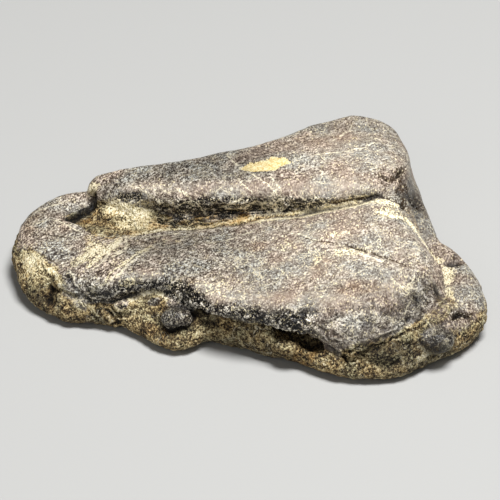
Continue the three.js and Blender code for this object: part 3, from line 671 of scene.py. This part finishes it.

# Painted shade sits where the surface is cupped: within a face or two, and over a wider reach.
cupped = ((averaged(place) - place) * facing).sum(1) * (1 - 0.5 * groove)
broad = averaged(place, 6)
cupped_wide = ((averaged(broad, 10) - broad) * facing).sum(1)
cupped_wide *= (1 - 0.8 * furrow) * (1 - 0.7 * groove) * (1 - 0.85 * bar_face)

# How much cream, rust and speckle each place has, and its tone, which holds painted light and shade.
rusty = np.clip(spotted(RUST_SPOTS, place), 0, 1)
# Painted shadow on the pocket's wall: no cream there, and its tone darkened.
creamy = np.clip(spotted(CREAM_SPOTS, place) + band, 0, 1) * (1 - 0.9 * bar_face) * (1 - pocket_wall)
# Tone from the spots, which are mostly painted light and shade.
tone = 1 + spotted(TONE_AND_LIGHT_SPOTS, place + 0.4 * wander) - 0.85 * pocket_wall
# Painted light: the bar's face, which stands in shade, is made paler, except in its hollows.
tone = np.maximum(tone + 0.45 * bar_face * (1 - hollows), 0.1)
speckle = 1.4 - 0.65 * rise(place[:, 0], -10, 8) + 0.35 * rise(place[:, 0], 20.0, 22.5) - 0.1 * glossy
speckle += 0.3 * ripple(place, 5.0, 1, 12.4)
# Painted sheen on the worn edges: paler, with fainter specks.
for half_width, share, way in WEAR_AND_SHEEN_EDGES:
    wear_and_sheen = 1 - rise(np.abs(beside(way, place, facing)), 0.2, half_width)
    tone += share * wear_and_sheen
    speckle *= 1 - 0.55 * wear_and_sheen

# What the material reads at each vertex. The groove shows some bone near the right lobe.
LAYERS = {
    "speckle": speckle, "rock": rock * (1 - 0.45 * groove * rise(x, 18.0, 20.0)), "dark": dark,
    "rusty": rusty, "creamy": creamy, "tone": tone, "fold": fold, "cupped": cupped,
    "cupped_wide": cupped_wide, "vein": vein, "crack": crack, "chip": chip, "crevice": crevice,
    "layered": layered, "chip_tone": averaged(chip_tone, 2), "ragged": ragged,
}
for name, values in LAYERS.items():
    layer = mesh.attributes.new(name, "FLOAT", "POINT")
    layer.data.foreach_set("value", values.astype(np.float32))
mesh.polygons.foreach_set("use_smooth", np.ones(len(mesh.polygons), bool))

# ------------------------------
# Finishes. Stops are colours on a scale of tones, and the first two are the ends of the scale.
BONE_STOPS = [
    (0.22, "#3E362F"), (0.90, "#FDFAF2"), (0.34, "#6A6057"), (0.45, "#827A71"), (0.54, "#9B948C"),
    (0.64, "#BDB7AD"), (0.76, "#E3DED3"),
]
BONE_TINTS = [(0.38, "#F4E6DC"), (0.62, "#E4E8E8"), (0.5, "#F4EFE8")]
ROCK_STOPS = [
    (0.28, "#140F09"), (0.96, "#FFFAE8"), (0.42, "#3C3223"), (0.53, "#6A5D47"), (0.63, "#998B6C"),
    (0.76, "#D2C6A0"),
]
ROCK_TINTS = [(0.38, "#F6E6CC"), (0.62, "#E6E8E0"), (0.5, "#F0E8D8")]
DARK_STOPS = [
    (0.30, "#060505"), (0.86, "#F4EEE0"), (0.42, "#1C1917"), (0.52, "#38332F"), (0.61, "#6A635A"),
    (0.72, "#ABA393"),
]
CREAM_STOPS = [(0.12, "#A08C60"), (0.55, "#FFF6DC"), (0.3, "#E4D6A8")]
CHIP_STOPS = [(0.3, "#D8BC78"), (0.7, "#FFF0BC")]
IRON_STAIN = "#D9B67C"
VEIN_CREAM = "#F4EACC"
NET_CREAM = "#F0E4C4"
CRACK_BROWN = "#3A2C1C"
# Painted shade in hollows.
HOLLOW_SHADE_BROWN = "#2A1F12"
# Painted shadow in the crevice over the pebble.
CREVICE_SHADOW = "#120C07"
PAPER_GREY = "#B4B4B2"

# Marks to a millimetre. Flecks are about 0.2 mm wide, curls 0.3, swirls and strands 0.4, blotches
# 1, patches of tint 2, meshes of the net of veins 2.5 and mottles 4. Then two sizes in millimetres.
FLECKS = 5.6
CURLS = 3.0
SWIRLS = 2.4
STRANDS = 2.3
BLOTCHES = 0.9
TINT_PATCHES = 0.5
VEIN_MESHES = 0.4
MOTTLES = 0.25
SLIVER_SIZE = (0.38, 0.21, 0.26)
CRUMB_SIZE = (0.75, 0.65, 0.5)


def linear(colour):
    """The linear colour of an sRGB hex value."""
    shares = [int(colour[k:k + 2], 16) / 255 for k in (1, 3, 5)]
    return [s / 12.92 if s <= 0.04045 else ((s + 0.055) / 1.055) ** 2.4 for s in shares] + [1.0]


def add(tree, kind, inputs, output=0, stops=(), **settings):
    """Adds a node with its settings, inputs and stops, and returns one of its outputs."""
    node = tree.nodes.new("ShaderNode" + kind)
    for name, value in settings.items():
        setattr(node, name, value)
    for key, value in inputs.items():
        if isinstance(value, bpy.types.NodeSocket):
            tree.links.new(value, node.inputs[key])
        else:
            node.inputs[key].default_value = value
    for k, (where, colour) in enumerate(stops):
        elements = node.color_ramp.elements
        stop = elements[k] if k < 2 else elements.new(where)
        stop.position = where
        stop.color = linear(colour)
    return node.outputs[output]


def start(name):
    """A new material with its node tree and its shader."""
    material = bpy.data.materials.new(name)
    material.use_nodes = True
    return material, material.node_tree, material.node_tree.nodes["Principled BSDF"]


# Fossil bone: bone whose pores have filled with minerals, in mudstone, broken out and then rolled
# smooth by sand and waves. The eye sees a hard grey-brown skin with pale and dark specks, matt with
# a dull shine on the steep dark faces, and dry, crumbly, yellowish rock where the bone ends. The
# specks are about 0.2 to 0.4 mm across and the pale strands 0.4 mm. Real bone pores are 0.1 mm, so
# both are drawn coarser than the real ones in order to show.
fossil, tree, shader = start("wave_polished_fossil_bone")
here = add(tree, "TexCoord", {}, "Object")
here = add(tree, "VectorMath", {0: here, "Scale": 1 / MM}, operation="SCALE")
on = {name: add(tree, "Attribute", {}, "Fac", attribute_name=name) for name in LAYERS}

# The bone's grain runs front to back, so specks are longer that way. Slivers are flat-sided.
along_grain = add(tree, "VectorMath", {0: here, 1: (1.0, 0.6, 0.85)}, operation="MULTIPLY")
crooked = add(tree, "TexNoise", {"Vector": here, "Scale": CURLS}, "Color")
crooked = add(tree, "VectorMath", {0: crooked, 1: [0.4] * 3, 2: here}, operation="MULTIPLY_ADD")
sliver = {"Vector": crooked, "Rotation": (0, 0, 0.7), "Scale": SLIVER_SIZE}
sliver = add(tree, "Mapping", sliver, vector_type="TEXTURE")
sliver = add(tree, "TexVoronoi", {"Vector": sliver, "Scale": 1.0}, "Color")
sliver = add(tree, "SeparateColor", {0: sliver})
sliver = add(tree, "Math", {0: sliver, 1: 1.6}, operation="POWER")
sliver = add(tree, "Math", {0: sliver, 1: 0.38}, operation="SUBTRACT")
fleck = add(tree, "TexNoise", {"Vector": along_grain, "Scale": FLECKS, "Detail": 1.0})
fleck = add(tree, "Math", {0: fleck, 1: 0.5}, operation="SUBTRACT")

# Blotches, wide patches of warm and cool tone, and swirls.
blotch = add(tree, "TexNoise", {"Vector": here, "Scale": BLOTCHES, "Detail": 3.0, "Roughness": 0.6})
blotch_swing = add(tree, "Math", {0: blotch, 1: 0.5}, operation="SUBTRACT")
mottle = add(tree, "TexNoise", {"Vector": here, "Scale": MOTTLES, "Detail": 3.0})
swirl = add(tree, "VectorMath", {0: here, 1: (0.7, 0.6, 1.0)}, operation="MULTIPLY")
swirl = {"Vector": swirl, "Scale": SWIRLS, "Detail": 4.0, "Roughness": 0.75, "Distortion": 1.5}
swirl = add(tree, "TexNoise", swirl)
swirl = add(tree, "Math", {0: swirl, 1: 0.5}, operation="SUBTRACT")

# Short pale curls, where the swirls are pale.
curl = add(tree, "TexNoise", {"Vector": along_grain, "Scale": CURLS, "Detail": 1.0, "Distortion": 0.8})
curl = add(tree, "Math", {0: curl, 1: 0.5}, operation="SUBTRACT")
curl = add(tree, "Math", {0: curl}, operation="ABSOLUTE")
curl = add(tree, "MapRange", {"Value": curl, "From Min": 0.045, "From Max": 0.0})
lit_swirl = add(tree, "MapRange", {"Value": swirl, "From Min": -0.05, "From Max": 0.08})
curl = add(tree, "Math", {0: curl, 1: lit_swirl}, operation="MULTIPLY")

# Crumbs of rock, each with its own tone, and the gaps between them.
crumbly = {"Vector": crooked, "Rotation": (0.3, 0, 0.5), "Scale": CRUMB_SIZE}
crumbly = add(tree, "Mapping", crumbly, vector_type="TEXTURE")
crumb_tone = add(tree, "TexVoronoi", {"Vector": crumbly, "Scale": 1.0}, "Color")
crumb_tone = add(tree, "SeparateColor", {0: crumb_tone})
crumb_tone = add(tree, "Math", {0: crumb_tone, 1: 0.5}, operation="SUBTRACT")
crumb_gap = add(tree, "TexVoronoi", {"Vector": crumbly, "Scale": 1.0}, feature="DISTANCE_TO_EDGE")
crumb_gap = add(tree, "MapRange", {"Value": crumb_gap, "From Min": 0.12, "From Max": 0.0})

# Fine pale strands that curl through the rock and over the broken edges.
strand = add(tree, "VectorMath", {0: crooked, 1: (0.75, 0.6, 1.15)}, operation="MULTIPLY")
strand = {"Vector": strand, "Scale": STRANDS, "Roughness": 0.6, "Distortion": 1.0}
strand = add(tree, "TexNoise", strand)
strand = add(tree, "Math", {0: strand, 1: 0.5}, operation="SUBTRACT")
strand = add(tree, "Math", {0: strand}, operation="ABSOLUTE")
strand = {"Value": strand, "From Min": 0.13, "From Max": 0.0, "To Min": -0.5, "To Max": 0.5}
strand = add(tree, "MapRange", strand)

# Bone: fine specks, coarser blotches, curls and the tones of broken chips.
chip_swing = add(tree, "Math", {0: on["chip_tone"], 1: 0.65}, operation="SUBTRACT")
torn = add(tree, "Math", {0: strand, 1: 0.9, 2: chip_swing}, operation="MULTIPLY_ADD")
torn = add(tree, "Math", {0: torn, 1: on["ragged"]}, operation="MULTIPLY")
shade = add(tree, "Math", {0: sliver, 1: 0.3, 2: fleck}, operation="MULTIPLY_ADD")
shade = add(tree, "Math", {0: shade, 1: on["speckle"], 2: 0.48}, operation="MULTIPLY_ADD")
for mark, share in (
    (blotch_swing, 0.18), (curl, 0.14), (swirl, 0.18), (on["creamy"], 0.08), (on["fold"], 0.07),
    (torn, 0.25),
):
    shade = add(tree, "Math", {0: mark, 1: share, 2: shade}, operation="MULTIPLY_ADD")
bone = add(tree, "ValToRGB", {"Fac": shade}, stops=BONE_STOPS)
warmth = add(tree, "ValToRGB", {"Fac": mottle}, stops=BONE_TINTS)
bone = add(tree, "Mix", {0: 1.0, 6: bone, 7: warmth}, 2, data_type="RGBA", blend_type="MULTIPLY")

# Rock: layers and grains with pale tops and dark gaps, from yellow to grey and brown, with painted
# shade where the surface is cupped.
gritty = add(tree, "Math", {0: on["cupped"], 1: -2.2, 2: 0.53}, operation="MULTIPLY_ADD")
for mark, share in (
    (strand, 0.26), (fleck, 0.62), (sliver, 0.14), (swirl, 0.4), (blotch_swing, 0.3),
    (on["layered"], 0.15), (on["fold"], 0.09), (on["creamy"], 0.22), (crumb_tone, 0.1),
    (crumb_gap, -0.1),
):
    gritty = add(tree, "Math", {0: mark, 1: share, 2: gritty}, operation="MULTIPLY_ADD")
stone = add(tree, "ValToRGB", {"Fac": gritty}, stops=ROCK_STOPS)
vary = add(tree, "TexNoise", {"Vector": here, "Scale": TINT_PATCHES, "Detail": 3.0})
vary = add(tree, "ValToRGB", {"Fac": vary}, stops=ROCK_TINTS)
stone = add(tree, "Mix", {0: 1.0, 6: stone, 7: vary}, 2, data_type="RGBA", blend_type="MULTIPLY")

# Dark polished crust on the faces that stand steep, with painted shade where the surface is cupped.
darker = add(tree, "Math", {0: shade, 1: 0.75, 2: 0.07}, operation="MULTIPLY_ADD")
for mark, share in (
    (on["layered"], 0.2), (swirl, 0.6), (strand, 0.4), (chip_swing, 0.22), (on["cupped"], -3.0),
    (on["fold"], 0.06),
):
    darker = add(tree, "Math", {0: mark, 1: share, 2: darker}, operation="MULTIPLY_ADD")
crust = add(tree, "ValToRGB", {"Fac": darker}, stops=DARK_STOPS)

# How much rock, cream crust and iron stain show, with edges that break up.
rocky = add(tree, "Math", {0: blotch_swing, 1: 1.4, 2: on["rock"]}, operation="MULTIPLY_ADD")
rocky = add(tree, "Math", {0: fleck, 1: 0.8, 2: rocky}, operation="MULTIPLY_ADD")
rocky = add(tree, "MapRange", {"Value": rocky, "From Min": 0.25, "From Max": 0.75})
creamed = add(tree, "Math", {0: swirl, 1: 1.2, 2: fleck}, operation="MULTIPLY_ADD")
creamed = add(tree, "Math", {0: on["creamy"], 1: 0.38, 2: creamed}, operation="MULTIPLY_ADD")
cream = add(tree, "ValToRGB", {"Fac": creamed}, stops=CREAM_STOPS)
creamed = add(tree, "MapRange", {"Value": creamed, "From Min": 0.14, "From Max": 0.34, "To Max": 0.85})
patchy = add(tree, "MapRange", {"Value": blotch, "From Min": 0.35, "From Max": 0.6, "To Max": 0.8})
stain = add(tree, "Math", {0: on["rusty"], 1: patchy}, operation="MULTIPLY")

# The pale chip, the veins, a fine broken net of veins, and the cracks.
chipped_off = add(tree, "Math", {0: fleck, 1: 0.8, 2: on["chip"]}, operation="MULTIPLY_ADD")
chipped_off = add(tree, "MapRange", {"Value": chipped_off, "From Min": -0.06, "From Max": 0.08})
chip_colour = add(tree, "ValToRGB", {"Fac": shade}, stops=CHIP_STOPS)
wiggle = add(tree, "TexNoise", {"Vector": here, "Scale": SWIRLS})
wiggle = add(tree, "Math", {0: wiggle, 1: 0.5}, operation="SUBTRACT")
veined = add(tree, "Math", {0: wiggle, 1: 6.0, 2: on["vein"]}, operation="MULTIPLY_ADD")
veined = add(tree, "Math", {0: veined}, operation="ABSOLUTE")
veined = add(tree, "Math", {0: fleck, 1: 6.0, 2: veined}, operation="MULTIPLY_ADD")
veined = add(tree, "Math", {0: sliver, 1: -2.4, 2: veined}, operation="MULTIPLY_ADD")
veined = add(tree, "MapRange", {"Value": veined, "From Min": 1.6, "From Max": 0.3})
faded = {"Value": blotch, "From Min": 0.38, "From Max": 0.6, "To Min": 0.35, "To Max": 0.95}
faded = add(tree, "MapRange", faded)
veined = add(tree, "Math", {0: veined, 1: faded}, operation="MULTIPLY")
bent = add(tree, "TexNoise", {"Vector": here, "Scale": BLOTCHES}, "Color")
bent = add(tree, "VectorMath", {0: bent, 1: [1.8] * 3, 2: here}, operation="MULTIPLY_ADD")
net = add(tree, "TexVoronoi", {"Vector": bent, "Scale": VEIN_MESHES}, feature="DISTANCE_TO_EDGE")
net = add(tree, "Math", {0: fleck, 1: 0.12, 2: net}, operation="MULTIPLY_ADD")
net = add(tree, "MapRange", {"Value": net, "From Min": 0.02, "From Max": -0.01, "To Max": 0.75})
shown = add(tree, "MapRange", {"Value": mottle, "From Min": 0.45, "From Max": 0.58})
net = add(tree, "Math", {0: net, 1: shown}, operation="MULTIPLY")
cracked = add(tree, "Math", {0: on["crack"]}, operation="ABSOLUTE")
cracked = add(tree, "Math", {0: fleck, 1: 8.0, 2: cracked}, operation="MULTIPLY_ADD")
cracked = add(tree, "MapRange", {"Value": cracked, "From Min": 2.2, "From Max": 0.8, "To Max": 0.92})
tones = add(tree, "CombineColor", {0: on["tone"], 1: on["tone"], 2: on["tone"]})
# Painted shade: the broad hollows darken towards brown.
hollow_shade = {"Value": on["cupped_wide"], "From Min": 0.015, "From Max": 0.09, "To Max": 0.85}
hollow_shade = add(tree, "MapRange", hollow_shade)
# Painted shadow: near black in the crevice over the pebble.
shadowed = add(tree, "Math", {0: on["crevice"], 1: 0.95}, operation="MULTIPLY")

# One coat over the other on the bone: how much of it, its colour, and how it lies on what is below.
# The last three coats hold painted light and shade: the tones, the painted shade in hollows and the
# painted shadow in the crevice.
surface = bone
for share, colour, blend in (
    (on["dark"], crust, "MIX"), (rocky, stone, "MIX"), (creamed, cream, "MIX"),
    (stain, linear(IRON_STAIN), "MULTIPLY"), (chipped_off, chip_colour, "MIX"),
    (veined, linear(VEIN_CREAM), "MIX"), (net, linear(NET_CREAM), "MIX"),
    (cracked, linear(CRACK_BROWN), "MIX"), (1.0, tones, "MULTIPLY"),
    (hollow_shade, linear(HOLLOW_SHADE_BROWN), "MULTIPLY"), (shadowed, linear(CREVICE_SHADOW), "MIX"),
):
    surface = add(tree, "Mix", {0: share, 6: surface, 7: colour}, 2, data_type="RGBA", blend_type=blend)
tree.links.new(surface, shader.inputs["Base Color"])

# Rock is dry, the dark crust has a dull shine, and grain finer than the mesh is bump.
rough = add(tree, "MapRange", {"Value": rocky, "To Min": 0.5, "To Max": 0.95})
rough = add(tree, "Math", {0: on["dark"], 1: -0.2, 2: rough}, operation="MULTIPLY_ADD")
rough = add(tree, "Math", {0: fleck, 1: 0.7, 2: rough}, operation="MULTIPLY_ADD", use_clamp=True)
tree.links.new(rough, shader.inputs["Roughness"])
shader.inputs["Specular IOR Level"].default_value = 0.3
rougher = add(tree, "Math", {0: rocky, 1: 2.5, 2: 2.0}, operation="MULTIPLY_ADD")
height = add(tree, "Math", {0: fleck, 1: rougher}, operation="MULTIPLY")
bump = add(tree, "Bump", {"Height": height, "Distance": 0.06 * MM})
tree.links.new(bump, shader.inputs["Normal"])

mesh.materials.clear()
mesh.materials.append(fossil)
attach(jaw, "root")
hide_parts("jaw_bone")

# ------------------------------
# Camera, floor and light.
TARGET = Vector((0.4, -1.0, 5.0)) * MM
DISTANCE = 320 * MM
ELEVATION = math.radians(32)
SENSOR_WIDTH = 36
LENS = 206
FLOOR_REACH = 1.5  # metres from the jaw to the floor's edge

back = Vector((0, -math.cos(ELEVATION), math.sin(ELEVATION)))
camera = bpy.data.objects.new("camera", bpy.data.cameras.new("camera"))
bpy.context.scene.collection.objects.link(camera)
camera.location = TARGET + back * DISTANCE
camera.rotation_euler = back.to_track_quat("Z", "Y").to_euler()
camera.data.sensor_width = SENSOR_WIDTH
camera.data.lens = LENS
bpy.context.scene.camera = camera

plain = bmesh.new()
bmesh.ops.create_grid(plain, x_segments=1, y_segments=1, size=FLOOR_REACH)
floor = settle(plain, "floor")
# Backdrop paper: uncoated and pressed flat, so it is even, pale and matt.
paper, tree, shader = start("pale_paper")
shader.inputs["Base Color"].default_value = linear(PAPER_GREY)
shader.inputs["Roughness"].default_value = 0.9
floor.data.materials.append(paper)


def lamp(name, spot, size, power):
    """A round soft lamp that shines at the jaw, with spot and size in metres and power in watts."""
    data = bpy.data.lights.new(name, "AREA")
    data.shape = "DISK"
    data.size = size
    data.energy = power
    made = bpy.data.objects.new(name, data)
    made.location = spot
    made.rotation_euler = (Vector(spot) - TARGET).to_track_quat("Z", "Y").to_euler()
    bpy.context.scene.collection.objects.link(made)


lamp("key", (0.10, -0.05, 0.49), 0.22, 3.7)
lamp("fill", (-0.2, -0.45, 0.25), 0.5, 0.5)
world = bpy.data.worlds.new("world")
bpy.context.scene.world = world
world.use_nodes = True
sky = world.node_tree.nodes["Background"]
sky.inputs["Color"].default_value = (1, 1, 1, 1)
sky.inputs["Strength"].default_value = 0.10
bpy.context.scene.view_settings.view_transform = "Standard"
